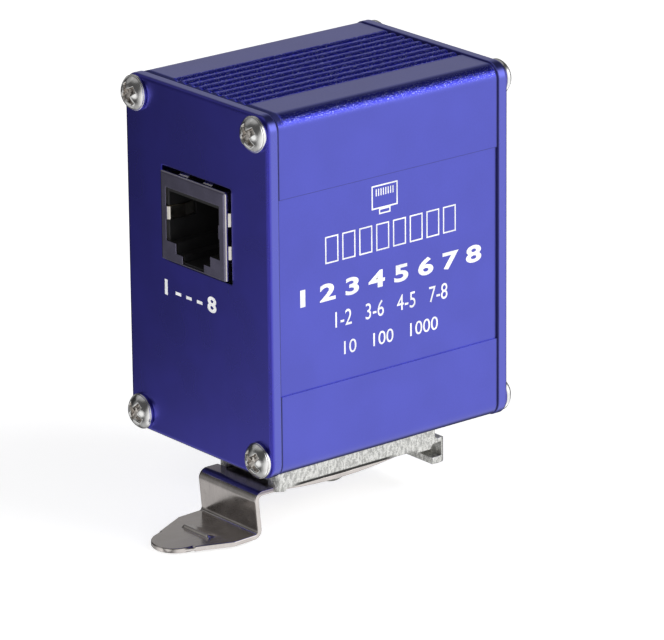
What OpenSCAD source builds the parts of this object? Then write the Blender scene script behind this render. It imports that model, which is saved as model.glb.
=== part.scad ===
// Surge protector for one shielded eight-way data line, in a small extruded case on a spring clip.
// X runs from the line socket (-X) to the equipment socket (+X), the printed side faces -Y, +Z is up.
// The origin is the middle of the plane on which the clip's feet seat. All sizes are millimetres.

/* [Case] */
// Length of the extruded case between its end plates
case_length = 42; // [39:0.5:60]
// Wall of the extruded case
case_wall = 2; // [1.6:0.1:2.6]
// Radius of the case's four long edges
case_corner_r = 2.2; // [1:0.1:2.6]
// How far the case lies inside the outline of the end plates
case_inset = 0.2; // [0:0.05:0.5]
// Height of the shallow field for print on the front side
print_field_height = 30.4; // [20:0.2:36]
// Depth of the field for print
print_field_depth = 0.25; // [0.1:0.05:0.5]
// Distance between the grooves on the top
groove_pitch = 2.04; // [1.8:0.02:2.2]
// Depth of the grooves on the top
groove_depth = 0.65; // [0.4:0.05:0.9]
// Number of grooves on the top
groove_count = 9; // [5:1:11]

/* [End plates] */
// Width of an end plate
plate_width = 34.6; // [34:0.2:44]
// Height of an end plate
plate_height = 56.2; // [54:0.2:70]
// Thickness of an end plate
plate_thickness = 2; // [1.5:0.1:2.4]
// Radius of an end plate's corners
plate_corner_r = 2.6; // [1.5:0.1:3]
// Rounding of an end plate's outer edge
plate_edge_r = 0.6; // [0.3:0.05:0.8]
// Rounding of an end plate's inner edge
plate_back_r = 0.3; // [0.1:0.05:0.4]

/* [Screws] */
// Distance of a plate screw from both edges of its plate
screw_inset = 2.9; // [2.8:0.05:3.4]
// Diameter of a plate screw's thread
screw_d = 2.9; // [2.4:0.1:3]
// Length of a plate screw under its head
screw_length = 9; // [6:0.5:12]
// Diameter of a plate screw's head
screw_head_d = 5.5; // [4.6:0.1:5.6]
// Height of a plate screw's head
screw_head_h = 2.1; // [1.6:0.1:2.6]
// Radius of the screw channel's outer wall in the case
channel_r = 2.7; // [2.4:0.1:3]
// Width of the slot along each screw channel
channel_slot = 1.1; // [0.6:0.1:1.4]
// Clearance around a screw or rivet in its hole, on the radius
screw_clearance = 0.1; // [0.05:0.05:0.25]

/* [Clip] */
// Height of the clip body from its seat to the case
clip_height = 6.7; // [6:0.1:9]
// Width of the clip body
clip_width = 15; // [13:0.5:20]
// Width between the lips that the clip grips
grip_width = 35; // [34.6:0.1:35.4]
// Thickness of the lips that the clip grips
grip_lip = 1; // [0.8:0.1:1.6]
// Clearance at the fixed hook, beside and under the lip
hook_clearance = 0.5; // [0.2:0.05:0.6]
// Clearance over the lip at the fixed hook, which lets the clip tilt
hook_rise = 0.8; // [0.5:0.1:1.2]
// Thickness of the fixed hook's wall
hook_wall = 1.1; // [0.7:0.05:1.3]
// Reach of the fixed hook's jaw under the lip
hook_reach = 1.4; // [0.8:0.1:2]
// Distance from the middle to the near end of the clip body
clip_near = 14.4; // [14:0.1:15.2]
// Length of the clip body's near feet
near_foot = 1.7; // [1.4:0.1:2]
// Length of the clip body's far foot
far_foot = 2.7; // [2:0.1:3.4]
// Relief of the clip body between its feet
foot_relief = 0.4; // [0.2:0.05:0.6]
// Radius of the clip body's upright corners
clip_corner_r = 1.6; // [0.8:0.1:2]
// Thickness of the clip body's cheeks beside the strip
cheek_t = 0.7; // [0.5:0.05:1]

/* [Latch strip] */
// Thickness of the latch strip
strip_t = 0.8; // [0.6:0.05:1]
// Width of the strip outside the clip body
strip_width = 14; // [12:0.5:14.5]
// Width of the strip's neck between the near feet
neck_width = 10; // [8:0.5:10.5]
// Clearance of the strip in its channel, on each side
strip_clearance = 0.2; // [0.1:0.05:0.3]
// Radius of the bowed stretch under the clip body
bow_r = 83; // [70:1:100]
// Radius of the bend over the near lip
lip_bend_r = 0.8; // [0.6:0.05:1.2]
// Lean of the strip's leg towards the clip
leg_lean = 5.5; // [3:0.5:8]
// Straight length of the strip's leg
leg_length = 4.85; // [4:0.05:6]
// Radius of the bend from the leg to the tongue
tongue_bend_r = 0.95; // [0.7:0.05:1.2]
// Length of the tongue from the leg to its tip
tongue_length = 13.5; // [12:0.1:16]
// Radius of the tongue's tip
tongue_tip_r = 4; // [3:0.1:5]
// Angle of the tongue's tapered sides
tongue_taper = 25; // [18:1:32]
// Length of the pressed ridge across the tongue
ridge_length = 6.2; // [4:0.1:8]
// Width of the pressed ridge
ridge_width = 2; // [1.4:0.1:2.6]
// Height of the pressed ridge
ridge_height = 0.55; // [0.3:0.05:0.8]

/* [Rivets and earth strap] */
// Diameter of a rivet's shank
rivet_d = 2.8; // [2.4:0.1:3.2]
// Diameter of a rivet's head
rivet_head_d = 4.5; // [4:0.1:5.5]
// Height of a rivet's head
rivet_head_h = 1.1; // [0.8:0.1:1.5]
// Distance between the two rivets
rivet_spacing = 8; // [7:0.5:8.4]
// Place of the rivets along X
rivet_x = -1.5; // [-2.5:0.5:0]
// Thickness of the earth strap
strap_t = 0.8; // [0.5:0.1:1]
// Width of the earth strap's upright
strap_width = 4.4; // [3:0.2:4.8]

/* [Sockets] */
// Width of a socket's metal shield
socket_width = 15.7; // [15.6:0.1:16.4]
// Height of a socket's metal shield
socket_height = 13.7; // [13.3:0.1:14.2]
// Depth of a socket's metal shield
socket_depth = 16.2; // [15.8:0.1:16.8]
// How far a socket stands out of its end plate
socket_proud = 0.85; // [0.4:0.05:1.2]
// Clearance between a socket and the cut-out in its plate
socket_gap = 0.55; // [0.5:0.05:0.9]
// Sheet of a socket's shield
shield_t = 0.3; // [0.2:0.05:0.35]
// Rounding of the folded edges of a socket's shield
shield_fold_r = 0.4; // [0.3:0.05:0.6]
// Height of the sockets' underside above the plates' lower edge
socket_level = 29.2; // [26:0.1:32]
// Width of the plug's way in
plug_width = 11.9; // [11.7:0.1:12.2]
// Height of the plug's shoulder above the socket's underside
plug_floor = 3; // [2.8:0.1:3.2]
// Height of the mouth above its shoulder
mouth_height = 8.4; // [8:0.1:8.6]
// Depth of the plug's way in
plug_depth = 11.6; // [11:0.1:12]
// Distance between two contacts
contact_pitch = 1.02; // [1:0.01:1.04]
// Section of a contact wire
contact_t = 0.35; // [0.25:0.05:0.4]
// Slope of a contact at rest
contact_slope = 18; // [14:1:20]
// Length of a contact's free stretch
contact_length = 8.6; // [8:0.1:9]

/* [Circuit board] */
// Thickness of the circuit board
board_t = 1.6; // [1:0.1:2]
// Clearance of the board in its guides
board_clearance = 0.15; // [0.1:0.05:0.3]
// Depth of the board guides
guide_depth = 1.5; // [1:0.1:2.4]
// Thickness of a guide's rib
guide_t = 1.2; // [0.8:0.1:1.6]
// Diameter of a gas discharge tube
tube_d = 5; // [4:0.1:5.4]
// Length of a gas discharge tube
tube_length = 7.6; // [6:0.2:8.4]
// Length of a clamp diode
diode_length = 4.6; // [4:0.1:5]
// Width of a clamp diode
diode_width = 3.6; // [3:0.1:4]
// Height of a clamp diode
diode_height = 2.3; // [1.8:0.1:2.6]

/* [Hidden] */
$fn = 48;
// Overlap that lets one cut run past the face that it opens
past = 1;
// Overlap that joins two stretches of one piece
lap = 0.02;
// Air between parts that only lie beside each other
air = 0.1;
// Length of a cut that clears the whole clip
clear = 40;

case_width = plate_width - 2 * case_inset;
case_height = plate_height - 2 * case_inset;
plate_bottom = clip_height - case_inset;
plate_middle = plate_bottom + plate_height / 2;
case_end = case_length / 2;
plate_face = case_end + plate_thickness;
cut_corner_r = 0.4;
floor_z = clip_height + case_wall;
screw_y = plate_width / 2 - screw_inset;
screw_z = plate_height / 2 - screw_inset;
screw_hole_r = screw_d / 2 + screw_clearance;
rivet_hole_d = rivet_d + 2 * screw_clearance;

socket_face = plate_face + socket_proud;
socket_z = plate_bottom + socket_level;
board_top = socket_z;
board_bottom = board_top - board_t;
board_length = case_length - 2 * air;
board_width = case_width - 2 * case_wall - 2 * board_clearance;
socket_inner_w = socket_width - 2 * shield_t;
body_width = socket_inner_w - 2 * air;
body_height = socket_height - shield_t - 2 * air;
body_back = socket_depth - shield_t - 2 * air;
step_width = 8.3;
step_height = 1.6;
notch_width = 5.2;
sill = 0.15;
floor_gap = 0.25;
mouth_margin = 1.35;
mouth_width = socket_width - 2 * mouth_margin;
tab_width = 2.1;
tab_length = 2.6;
tab_rise = socket_gap - air;
tab_start = socket_proud - 0.25;
top_tab_y = 2.9;
side_tab_z = 2.55;
finger_height = 2.1;
finger_level = 7.35;
finger_length = 5;
peg_d = 3.2;
peg_length = board_t + 0.6;
foot_width = 1.6;
peg_x = 8.9;
peg_y = 5.7;
roof_level = 7.9;
roof_low = plug_floor + roof_level;
roof_t = 1.5;
roof_front = 2.2;
lintel = 1.2;
channel_stop = 2;
comb_length = 1.7;
comb_rib = 0.4;
comb_low = 6.6;
tail_row_1 = 13;
tail_row_2 = body_back - 0.5;
tail_field = 8.6;
tail_length = 1.4;
wire_air = 0.08;
wire_slot = contact_t + 2 * wire_air;
wire_run_z = roof_low + roof_t - wire_slot / 2;
contact_root = roof_front + 0.2;
contact_top = roof_low - 0.25;

grip_half = grip_width / 2;
hook_inner = grip_half + hook_clearance;
hook_outer = hook_inner + hook_wall;
jaw_top = -grip_lip - hook_clearance;
jaw_t = 1.1;
jaw_low = jaw_top - jaw_t;
nose_top = hook_rise + 0.7;
throat = 1.4;
clip_far = hook_inner - throat;
far_foot_end = clip_far - 1;
far_foot_start = far_foot_end - far_foot;
near_foot_end = -clip_near + near_foot;
channel_width = clip_width - 2 * cheek_t;
channel_top = foot_relief + 1.1;
leaf_width = channel_width - 2 * strip_clearance;
leaf_far = far_foot_start - strip_clearance;
lip_run = 0.1 + strip_t / 2;
leaf_low = -strip_t / 2;
relax_r = 5;
bow_angle = acos(1 - (lip_run - leaf_low) / (bow_r + relax_r));
lip_run_start = rivet_x - (bow_r + relax_r) * sin(bow_angle);
strip_seam = -clip_near - strip_clearance;
leg_outer = -grip_half - strip_t;
lip_bend_x = leg_outer + strip_t / 2 + lip_bend_r;
tongue_heading = 1.7;
tongue_z = lip_run - lip_bend_r - leg_length - tongue_bend_r;
tongue_tip = leg_outer - tongue_length;
ridge_place = 5.2;
ridge_x = leg_outer - ridge_place;
ridge_ramp = 0.5;
pad_length = 6;
rib_r = ((groove_pitch / 2) * (groove_pitch / 2) + groove_depth * groove_depth) / (2 * groove_depth);
head_rim = 0.6;
recess_depth = 1.3;
recess_reach = 1.75;
recess_floor = 0.75;
recess_root = 0.5;
recess_end = 0.27;

strap_foot_end = rivet_x + pad_length / 2;
strap_bend_r = 1.2;
strap_tab_width = 2;
strap_tab_stand = 0.8;
tube_x = (socket_face - socket_depth) / 2;
tube_y = 6.2;
tube_ring = 1;
tube_lead_d = 0.8;
diode_inset = 2.5;
diode_x = case_end - diode_inset;
diode_rows = [-8.4, -2.8, 2.8, 8.4];
diode_foot = 1;

// Extrudes an outline drawn in Y and Z along X, from x0
module along_x(x0, length) {
    translate([x0, 0, 0]) rotate([90, 0, 90]) linear_extrude(length) children();
}

// Extrudes an outline drawn in X and Z across Y, about the middle
module across_y(width) {
    rotate([90, 0, 0]) linear_extrude(width, center = true) children();
}

// Puts a socket part in the line end, or in the equipment end when side is 1
module at_socket(side) {
    rotate([0, 0, side > 0 ? 180 : 0]) translate([-socket_face, 0, socket_z]) children();
}

// Rectangle with round corners, about the middle
module rounded_outline(w, h, r) {
    square([w - 2 * r, h], center = true);
    square([w, h - 2 * r], center = true);
    for (sy = [-1, 1], sz = [-1, 1])
        translate([sy * (w / 2 - r), sz * (h / 2 - r)]) circle(r = r);
}

// Places children at the four screws of an end
module screw_places() {
    for (sy = [-1, 1], sz = [-1, 1]) translate([sy * screw_y, sz * screw_z]) children();
}

// One groove of the top: what is left between two round ribs, under the line y = 0
module groove_cut() {
    difference() {
        translate([-groove_pitch / 2, -groove_depth]) square([groove_pitch, groove_depth + past]);
        for (s = [-1, 1]) translate([s * groove_pitch / 2, -rib_r]) circle(r = rib_r);
    }
}

// Section of the extruded case in Y and Z, about its middle
module case_section() {
    inner_w = case_width - 2 * case_wall;
    inner_h = case_height - 2 * case_wall;
    slot_low = board_bottom - board_clearance / 2 - plate_middle;
    slot_high = board_top + board_clearance / 2 - plate_middle;
    difference() {
        union() {
            difference() {
                rounded_outline(case_width, case_height, case_corner_r);
                rounded_outline(inner_w, inner_h, 0.6);
            }
            intersection() {
                rounded_outline(case_width, case_height, case_corner_r);
                screw_places() circle(r = channel_r);
            }
            for (sy = [-1, 1], z = [slot_low - guide_t, slot_high])
                translate([sy * (inner_w / 2 - guide_depth / 2 + lap), z + guide_t / 2])
                    square([guide_depth + 2 * lap, guide_t], center = true);
        }
        screw_places() circle(r = screw_hole_r);
        for (sy = [-1, 1], sz = [-1, 1])
            translate([sy * screw_y, sz * screw_z]) rotate(atan2(-sz, -sy))
                translate([0, -channel_slot / 2]) square([channel_r + past, channel_slot]);
        translate([-case_width / 2 - past, -print_field_height / 2])
            square([print_field_depth + past, print_field_height]);
        for (k = [0 : groove_count - 1])
            translate([(k - (groove_count - 1) / 2) * groove_pitch, case_height / 2]) groove_cut();
    }
}

module housing() {
    color([0.22, 0.22, 0.6]) difference() {
        along_x(-case_end, case_length) translate([0, plate_middle]) case_section();
        for (sy = [-1, 1]) translate([rivet_x, sy * rivet_spacing / 2, clip_height - past])
            cylinder(d = rivet_hole_d, h = case_wall + 2 * past);
    }
}

// Half section of a plate from its middle to its rim at distance r, rounded on both edges
module rim_profile(r) {
    rim = plate_thickness - plate_edge_r;
    square([r - plate_edge_r, plate_thickness]);
    square([r - plate_back_r, rim]);
    translate([0, plate_back_r]) square([r, rim - plate_back_r]);
    translate([r - plate_edge_r, rim]) circle(r = plate_edge_r, $fn = 24);
    translate([r - plate_back_r, plate_back_r]) circle(r = plate_back_r, $fn = 24);
}

// Flat plate with round corners and rounded edges; its inner face lies on x = 0
module pillow_plate() {
    w = plate_width / 2 - plate_corner_r;
    h = plate_height / 2 - plate_corner_r;
    rotate([90, 0, 90]) {
        for (a = [0, 180]) rotate(a) {
            rotate([90, 0, 0]) linear_extrude(2 * h, center = true) rim_profile(plate_width / 2);
            rotate([90, 0, 90]) linear_extrude(2 * w, center = true) rim_profile(plate_height / 2);
        }
        for (sy = [-1, 1], sz = [-1, 1]) translate([sy * w, sz * h, 0])
            rotate_extrude() rim_profile(plate_corner_r);
    }
}

module end_plate(side) {
    cut_w = socket_width + 2 * socket_gap;
    cut_h = socket_height + 2 * socket_gap;
    cut_z = socket_level + socket_height / 2 - plate_height / 2;
    color([0.16, 0.14, 0.42]) translate([side * case_end, 0, plate_middle])
        rotate([0, 0, side > 0 ? 0 : 180]) difference() {
            pillow_plate();
            along_x(-past, plate_thickness + 2 * past) {
                screw_places() circle(r = screw_hole_r + screw_clearance);
                translate([0, cut_z]) rounded_outline(cut_w, cut_h, cut_corner_r);
            }
        }
}

module line_end_plate() { end_plate(-1); }
module equipment_end_plate() { end_plate(1); }

// One wing of a screw's cross recess: narrower towards its ends, which slope down to the bottom
module recess_wing() {
    low = screw_head_h - recess_depth;
    high = screw_head_h + past;
    intersection() {
        translate([0, 0, low]) linear_extrude(recess_depth + past)
            polygon([[-recess_reach, -recess_end], [0, -recess_root], [recess_reach, -recess_end],
                [recess_reach, recess_end], [0, recess_root], [-recess_reach, recess_end]]);
        across_y(screw_head_d)
            polygon([[-recess_floor, low], [recess_floor, low], [recess_reach, screw_head_h - head_rim],
                [recess_reach, high], [-recess_reach, high], [-recess_reach, screw_head_h - head_rim]]);
    }
}

// Round-headed screw with a cross recess; its head stands on z = 0
module pan_screw() {
    dome = screw_head_h - head_rim;
    dome_r = (screw_head_d * screw_head_d / 4 + dome * dome) / (2 * dome);
    difference() {
        union() {
            intersection() {
                cylinder(d = screw_head_d, h = screw_head_h);
                translate([0, 0, screw_head_h - dome_r]) sphere(r = dome_r, $fn = 96);
            }
            translate([0, 0, -screw_length]) cylinder(d = screw_d, h = screw_length + lap);
        }
        for (a = [0, 90]) rotate(a) recess_wing();
    }
}

module plate_screws(side) {
    color([0.8, 0.8, 0.78]) for (sy = [-1, 1], sz = [-1, 1])
        translate([side * plate_face, sy * screw_y, plate_middle + sz * screw_z])
            rotate([0, side * 90, 0]) rotate(20 * sy + 35 * sz) pan_screw();
}

module line_plate_screws() { plate_screws(-1); }
module equipment_plate_screws() { plate_screws(1); }

// Side view of the clip body with its fixed hook, in X and Z
module clip_side() {
    difference() {
        translate([-clip_near, 0]) square([clip_near + clip_far, clip_height]);
        translate([near_foot_end, -past]) square([far_foot_start - near_foot_end, foot_relief + past]);
        translate([clip_far, 0]) circle(r = hook_rise);
    }
    translate([clip_far - past, hook_rise]) square([hook_inner - clip_far + past, nose_top - hook_rise]);
    difference() {
        translate([clip_far - lap, nose_top - lap]) square([0.6, 0.6]);
        translate([clip_far + 0.6, nose_top + 0.6]) circle(r = 0.6);
    }
    translate([hook_inner, nose_top - hook_wall]) intersection() {
        circle(r = hook_wall);
        square(hook_wall);
    }
    translate([hook_inner, jaw_low]) square([hook_wall, nose_top - hook_wall - jaw_low + lap]);
    translate([grip_half - hook_reach, jaw_low]) square([hook_reach + hook_clearance + lap, jaw_t]);
}

// Plan of the clip body with its round upright corners, in X and Y
module clip_plan() {
    length = clip_near + hook_outer;
    translate([(hook_outer - clip_near) / 2, 0]) rounded_outline(length, clip_width, clip_corner_r);
}

// Places children at the two rivets
module rivet_places() {
    for (s = [-1, 1]) translate([rivet_x, s * rivet_spacing / 2, 0]) children();
}

module clip_body() {
    ceiling = channel_top - foot_relief;
    color([0.72, 0.73, 0.7]) difference() {
        intersection() {
            across_y(clip_width) clip_side();
            translate([0, 0, -clear / 2]) linear_extrude(clear) clip_plan();
        }
        difference() {
            translate([near_foot_end, -channel_width / 2, foot_relief - past])
                cube([far_foot_start - near_foot_end, channel_width, ceiling + past]);
            intersection() {
                translate([rivet_x - pad_length / 2, -channel_width, -past])
                    cube([pad_length, 2 * channel_width, channel_top + 2 * past]);
                translate([rivet_x, 0, leaf_low + bow_r]) rotate([90, 0, 0])
                    cylinder(r = bow_r - strip_t / 2, h = 3 * channel_width, center = true, $fn = 180);
            }
        }
        translate([-clip_near - past, -neck_width / 2 - strip_clearance, -past])
            cube([near_foot + 2 * past, neck_width + 2 * strip_clearance, channel_top + past]);
        rivet_places() translate([0, 0, -past])
            cylinder(d = rivet_hole_d, h = clip_height + 2 * past);
    }
}

// Slice of a ring about the origin, between two angles
module ring_slice(r, t, from, to) {
    reach = 2 * (r + t);
    intersection() {
        difference() {
            circle(r = r + t / 2, $fn = r > 20 ? 180 : 48);
            circle(r = r - t / 2, $fn = r > 20 ? 180 : 48);
        }
        polygon([[0, 0], reach * [cos(from), sin(from)],
            reach * [cos((from + to) / 2), sin((from + to) / 2)], reach * [cos(to), sin(to)]]);
    }
}

// Side view of the bowed leaf with its near run, in X and Z
module leaf_side() {
    far_angle = asin((leaf_far - rivet_x) / bow_r);
    translate([rivet_x, leaf_low + bow_r])
        ring_slice(bow_r, strip_t, 270 - bow_angle - lap, 270 + far_angle);
    translate([lip_run_start, lip_run - relax_r]) ring_slice(relax_r, strip_t, 90 - bow_angle, 90);
    translate([strip_seam, lip_run - strip_t / 2]) square([lip_run_start - strip_seam + lap, strip_t]);
}

module latch_leaf() {
    neck_end = near_foot_end + strip_clearance;
    color([0.62, 0.6, 0.6]) difference() {
        across_y(leaf_width) leaf_side();
        for (s = [0, 180]) translate([strip_seam - past, 0, 0]) rotate([s, 0, 0])
            translate([0, neck_width / 2, -clear / 2])
                cube([neck_end - strip_seam + past, clip_width, clear]);
        rivet_places() translate([0, 0, -clear / 2]) cylinder(d = rivet_hole_d, h = clear);
    }
}

// Side view of the free stretch of the strip: over the lip, down the leg and out along the tongue
module tongue_side() {
    fold = 90 + leg_lean - tongue_heading;
    translate([lip_bend_x, lip_run - strip_t / 2]) square([strip_seam - lip_bend_x, strip_t]);
    translate([lip_bend_x, lip_run - lip_bend_r]) {
        ring_slice(lip_bend_r, strip_t, 90 - 0.5, 180 + leg_lean);
        rotate(leg_lean) {
            translate([-lip_bend_r - strip_t / 2, -leg_length - lap])
                square([strip_t, leg_length + 2 * lap]);
            translate([-lip_bend_r - tongue_bend_r, -leg_length]) rotate(-fold) {
                ring_slice(tongue_bend_r, strip_t, 0, fold);
                translate([tongue_bend_r - strip_t / 2, -tongue_length])
                    square([strip_t, tongue_length + lap]);
            }
        }
    }
}

// Plan of the free stretch with its tapered tongue, in X and Y
module tongue_plan() {
    centre = tongue_tip + tongue_tip_r;
    tip_x = centre - tongue_tip_r * sin(tongue_taper);
    tip_y = tongue_tip_r * cos(tongue_taper);
    taper_x = tip_x + (strip_width / 2 - tip_y) / tan(tongue_taper);
    translate([centre, 0]) circle(r = tongue_tip_r);
    polygon([[strip_seam, -strip_width / 2], [strip_seam, strip_width / 2], [taper_x, strip_width / 2],
        [tip_x, tip_y], [tip_x, -tip_y], [taper_x, -strip_width / 2]]);
}

module latch_tongue() {
    ridge_foot = tongue_z + strip_t / 2 - (leg_outer - ridge_x) * sin(tongue_heading);
    ridge_top = ridge_foot + ridge_height;
    ridge_front = ridge_x - ridge_width / 2;
    ridge_back = ridge_x + ridge_width / 2;
    color([0.62, 0.6, 0.6]) {
        intersection() {
            across_y(strip_width) tongue_side();
            translate([0, 0, -clear / 2]) linear_extrude(clear) tongue_plan();
        }
        across_y(ridge_length)
            polygon([[ridge_back, ridge_foot - strip_t / 4], [ridge_front, ridge_foot - strip_t / 4],
                [ridge_front, ridge_top], [ridge_front + ridge_ramp, ridge_top],
                [ridge_back, ridge_foot]]);
    }
}

module clip_rivets() {
    head_z = leaf_low - strip_t / 2;
    tail_z = floor_z + strap_t;
    rivet_dome_r = 0.7 * rivet_head_d;
    color([0.78, 0.78, 0.74]) rivet_places() {
        translate([0, 0, head_z - lap]) cylinder(d = rivet_d, h = tail_z - head_z + 2 * lap);
        intersection() {
            translate([0, 0, head_z - rivet_head_h]) cylinder(d = rivet_head_d, h = rivet_head_h);
            translate([0, 0, head_z - rivet_head_h + rivet_dome_r]) sphere(r = rivet_dome_r, $fn = 64);
        }
        translate([0, 0, tail_z]) cylinder(d1 = rivet_head_d, d2 = rivet_head_d - 0.8, h = rivet_head_h);
    }
}

module earth_strap() {
    bend = strap_bend_r;
    up_x = strap_foot_end + bend;
    mid_z = floor_z + strap_t / 2;
    color([0.8, 0.7, 0.4]) difference() {
        union() {
            translate([rivet_x - pad_length / 2, -rivet_spacing / 2 - rivet_head_d / 2, floor_z])
                cube([pad_length, rivet_spacing + rivet_head_d, strap_t]);
            across_y(strap_width) {
                translate([strap_foot_end - lap, floor_z]) square([2 * lap, strap_t]);
                translate([strap_foot_end, mid_z + bend]) ring_slice(bend, strap_t, 270, 360);
                translate([up_x - strap_t / 2, mid_z + bend - lap])
                    square([strap_t, board_bottom - mid_z - bend + lap]);
            }
            translate([up_x - strap_t / 2, -strap_tab_width / 2, board_bottom - lap])
                cube([strap_t, strap_tab_width, board_t + strap_tab_stand]);
        }
        rivet_places() translate([0, 0, floor_z - past]) cylinder(d = rivet_hole_d, h = 3 * past);
    }
}

// Outline of the plug's way in, in Y and Z above the socket's underside
module mouth_outline(w, h, low) {
    translate([-w / 2, plug_floor]) square([w, h]);
    translate([-step_width / 2, plug_floor - step_height]) square([step_width, step_height + lap]);
    translate([-notch_width / 2, low]) square([notch_width, plug_floor - low]);
}

// Spring finger bent inwards from the mouth's side, in X and Y
module finger_outline() {
    y0 = mouth_width / 2;
    polygon([[0, y0 + lap], [shield_t, y0], [finger_length * 0.6, y0 - 0.6], [finger_length, y0 - 0.15],
        [finger_length, y0 - 0.4], [finger_length * 0.6, y0 - 0.85], [0, y0 - 0.25]]);
}

// Shallow spring tab that bridges the gap to the plate, in X and height
module tab_outline() {
    ramp = 0.3 * tab_length;
    polygon([[tab_start, -lap], [tab_start + ramp, tab_rise], [tab_start + 2 * ramp, tab_rise],
        [tab_start + tab_length, -lap]]);
}

// Block of a shield with its folded edges rounded; it stands on z = 0 with its front at x = 0
module shield_block() {
    intersection() {
        along_x(0, socket_depth) translate([0, socket_height / 2 - past])
            rounded_outline(socket_width, socket_height + 2 * past, shield_fold_r);
        across_y(socket_width) translate([socket_depth / 2, socket_height / 2 - past])
            rounded_outline(socket_depth, socket_height + 2 * past, shield_fold_r);
        linear_extrude(socket_height) translate([socket_depth / 2, 0])
            rounded_outline(socket_depth, socket_width, shield_fold_r);
    }
}

module jack_shield(side) {
    half = socket_width / 2;
    color([0.62, 0.6, 0.58]) at_socket(side) {
        difference() {
            shield_block();
            translate([shield_t, -socket_inner_w / 2, -past])
                cube([socket_depth - 2 * shield_t, socket_inner_w, socket_height - shield_t + past]);
            along_x(-past, shield_t + 2 * past) mouth_outline(mouth_width, mouth_height, sill);
        }
        for (s = [-1, 1]) {
            translate([0, s * top_tab_y, socket_height]) across_y(tab_width) tab_outline();
            for (k = [-1, 1]) translate([0, s * half, socket_height / 2 + k * side_tab_z])
                rotate([s > 0 ? 0 : 180, 0, 0]) linear_extrude(tab_width, center = true) tab_outline();
            translate([0, 0, finger_level]) rotate([s > 0 ? 0 : 180, 0, 0])
                linear_extrude(finger_height, center = true) finger_outline();
            translate([peg_x - foot_width / 2, s > 0 ? socket_inner_w / 2 : -half, -board_t - past])
                cube([foot_width, shield_t, board_t + past + lap]);
        }
    }
}

module jack_body(side) {
    color([0.06, 0.06, 0.07]) at_socket(side) {
        difference() {
            translate([shield_t + air / 2, -body_width / 2, 0])
                cube([body_back - shield_t, body_width, body_height]);
            along_x(-past, lintel + past)
                mouth_outline(plug_width, roof_low - plug_floor - air, sill + floor_gap);
            translate([lintel, -plug_width / 2, plug_floor])
                cube([socket_depth, plug_width, socket_height]);
            along_x(0, plug_depth - channel_stop)
                mouth_outline(step_width, plug_floor, sill + floor_gap);
            translate([0, -mouth_width / 2 - air, finger_level - finger_height / 2 - air])
                cube([finger_length + 0.3, mouth_width + 2 * air, finger_height + 2 * air]);
            translate([tail_row_1 - 0.6, -tail_field / 2, -past])
                cube([socket_depth, tail_field, plug_floor + 2 * past]);
        }
        for (s = [-1, 1]) translate([peg_x, s * peg_y, -peg_length])
            cylinder(d = peg_d, h = peg_length + lap);
    }
}

// Place of contact k, from 0 to 7, across the socket
function contact_y(k) = (k - 3.5) * contact_pitch;

// Distance of the tail of contact k from the socket's front
function tail_row(k) = k % 2 == 0 ? tail_row_1 : tail_row_2;

module jack_insert(side) {
    half = plug_width / 2 - air;
    back = body_back - 1.5 * air;
    wall_x = plug_depth + air;
    color([0.1, 0.1, 0.11]) at_socket(side) difference() {
        union() {
            translate([roof_front, -half, roof_low]) cube([back - roof_front, 2 * half, roof_t]);
            translate([wall_x, -half, plug_floor])
                cube([back - wall_x, 2 * half, roof_low + lap - plug_floor]);
            for (k = [0 : 8])
                translate([wall_x - comb_length, contact_y(k - 0.5) - comb_rib / 2, comb_low])
                    cube([comb_length + lap, comb_rib, roof_low + lap - comb_low]);
        }
        for (k = [0 : 7]) {
            row = tail_row(k);
            translate([roof_front - past, contact_y(k) - wire_slot / 2, roof_low + roof_t - wire_slot])
                cube([row + wire_slot / 2 - roof_front + past, wire_slot, wire_slot + past]);
            translate([row - wire_slot / 2, contact_y(k) - wire_slot / 2, -past])
                cube([wire_slot, wire_slot, socket_height + past]);
        }
    }
}

// Free stretch of one contact: it slopes down towards the back of the socket
module contact_beam() {
    translate([contact_root, 0, contact_top]) rotate([0, contact_slope, 0])
        translate([0, -contact_t / 2, -contact_t]) cube([contact_length, contact_t, contact_t]);
}

module jack_contacts(side) {
    color([0.85, 0.68, 0.3]) at_socket(side) difference() {
        for (k = [0 : 7]) translate([0, contact_y(k), 0]) contact_beam();
        translate([contact_root - past, -plug_width / 2, 0]) cube([past, plug_width, socket_height]);
    }
}

// Fixed stretch of one contact: hairpin, run along the roof and tail down to the board
module contact_tail(row) {
    low_z = contact_top - contact_t / 2;
    r = (wire_run_z - low_z) / 2;
    across_y(contact_t) {
        translate([contact_root, low_z + r]) ring_slice(r, contact_t, 90, 270);
        translate([contact_root - lap, wire_run_z - contact_t / 2])
            square([row + contact_t / 2 - contact_root + lap, contact_t]);
        translate([row - contact_t / 2, -board_t - tail_length])
            square([contact_t, wire_run_z + contact_t / 2 + board_t + tail_length]);
    }
}

module jack_tails(side) {
    color([0.8, 0.7, 0.45]) at_socket(side) for (k = [0 : 7])
        translate([0, contact_y(k), 0]) contact_tail(tail_row(k));
}

module line_jack_shield() { jack_shield(-1); }
module line_jack_body() { jack_body(-1); }
module line_jack_insert() { jack_insert(-1); }
module line_contacts() { jack_contacts(-1); }
module line_contact_tails() { jack_tails(-1); }
module equipment_jack_shield() { jack_shield(1); }
module equipment_jack_body() { jack_body(1); }
module equipment_jack_insert() { jack_insert(1); }
module equipment_contacts() { jack_contacts(1); }
module equipment_contact_tails() { jack_tails(1); }

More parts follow.
